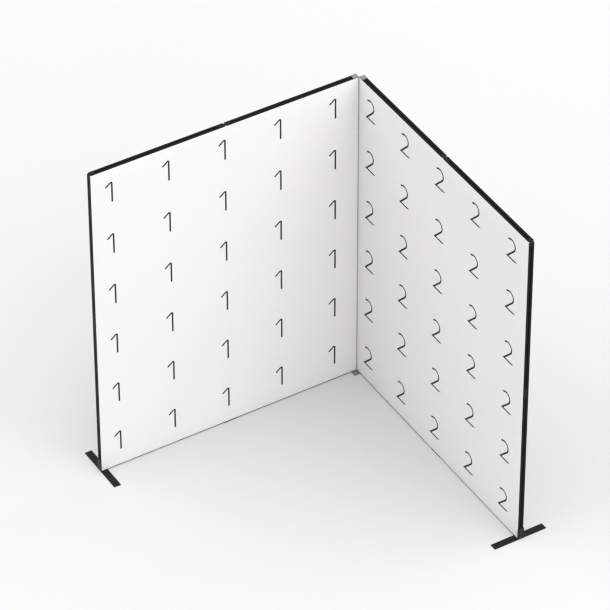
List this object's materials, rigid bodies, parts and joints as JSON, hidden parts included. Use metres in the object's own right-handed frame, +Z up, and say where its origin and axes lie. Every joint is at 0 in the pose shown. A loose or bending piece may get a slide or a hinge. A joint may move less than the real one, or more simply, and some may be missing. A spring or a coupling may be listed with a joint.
{
  "type": "partition wall",
  "caption": "Free-standing corner partition wall: two stretched-fabric panels on flat feet, joined by a corner hinge, for exhibitions.",
  "frame": {"origin": "on the floor, on the hinge axis where the two front faces meet, in the underside of the hinge base plate", "axes": "+Z up along the hinge axis; the left panel runs along -X with its front facing -Y; the right panel runs along -Y with its front facing -X"},
  "size_m": [2.2266, 2.2266, 2.5092],
  "materials": {
    "frame": "black anodised, satin",
    "lock_block": "matte dark grey, glass-filled",
    "fabric": "white knitted polyester, printed",
    "edge_strip": "white silicone",
    "foot": "blue-black powder coat on steel",
    "pad": "black, hard",
    "fastener": "zinc-plated",
    "hinge_plate": "blue-grey zinc-plated steel",
    "inner_metal": "mill finish"
  },
  "bodies": {
    "left_wall": {"left_top_rail_inner": "frame", "left_top_rail_outer": "frame", "left_bottom_rail_inner": "frame", "left_bottom_rail_outer": "frame", "left_inner_post_upper": "frame", "left_inner_post_lower": "frame", "left_outer_post_upper": "frame", "left_outer_post_lower": "frame", "left_corner_brackets": "inner_metal", "left_splice_bars": "inner_metal", "left_lock_blocks": "lock_block", "left_set_screws": "fastener", "left_stabiliser_lower": "inner_metal", "left_stabiliser_upper": "inner_metal", "left_stabiliser_sleeve": "inner_metal", "left_stabiliser_shoes": "inner_metal", "left_shoe_screws": "fastener", "left_front_fabric": "fabric", "left_back_fabric": "fabric", "left_edge_strips": "edge_strip", "left_foot": "foot", "left_foot_nut_strip": "fastener", "left_foot_screws": "fastener", "left_middle_pad": "pad", "left_pad_screws": "fastener", "left_leaf_screws": "fastener", "hinge_base_plate": "hinge_plate", "hinge_lower_pin": "fastener", "hinge_upper_leaf_left": "hinge_plate", "hinge_upper_rivet": "fastener"},
    "right_wall": {"right_top_rail_inner": "frame", "right_top_rail_outer": "frame", "right_bottom_rail_inner": "frame", "right_bottom_rail_outer": "frame", "right_inner_post_upper": "frame", "right_inner_post_lower": "frame", "right_outer_post_upper": "frame", "right_outer_post_lower": "frame", "right_corner_brackets": "inner_metal", "right_splice_bars": "inner_metal", "right_lock_blocks": "lock_block", "right_set_screws": "fastener", "right_stabiliser_lower": "inner_metal", "right_stabiliser_upper": "inner_metal", "right_stabiliser_sleeve": "inner_metal", "right_stabiliser_shoes": "inner_metal", "right_shoe_screws": "fastener", "right_front_fabric": "fabric", "right_back_fabric": "fabric", "right_edge_strips": "edge_strip", "right_foot": "foot", "right_foot_nut_strip": "fastener", "right_foot_screws": "fastener", "right_middle_pad": "pad", "right_pad_screws": "fastener", "right_leaf_screws": "fastener", "hinge_lower_leaf": "hinge_plate", "hinge_upper_leaf_right": "hinge_plate"}
  },
  "joints": [
    {"name": "corner_hinge", "type": "hinge", "parent": "left_wall", "child": "right_wall", "pos_m": [0, 0, 0], "axis": [0, 0, 1], "range_deg": [-75, 90]}
  ]
}
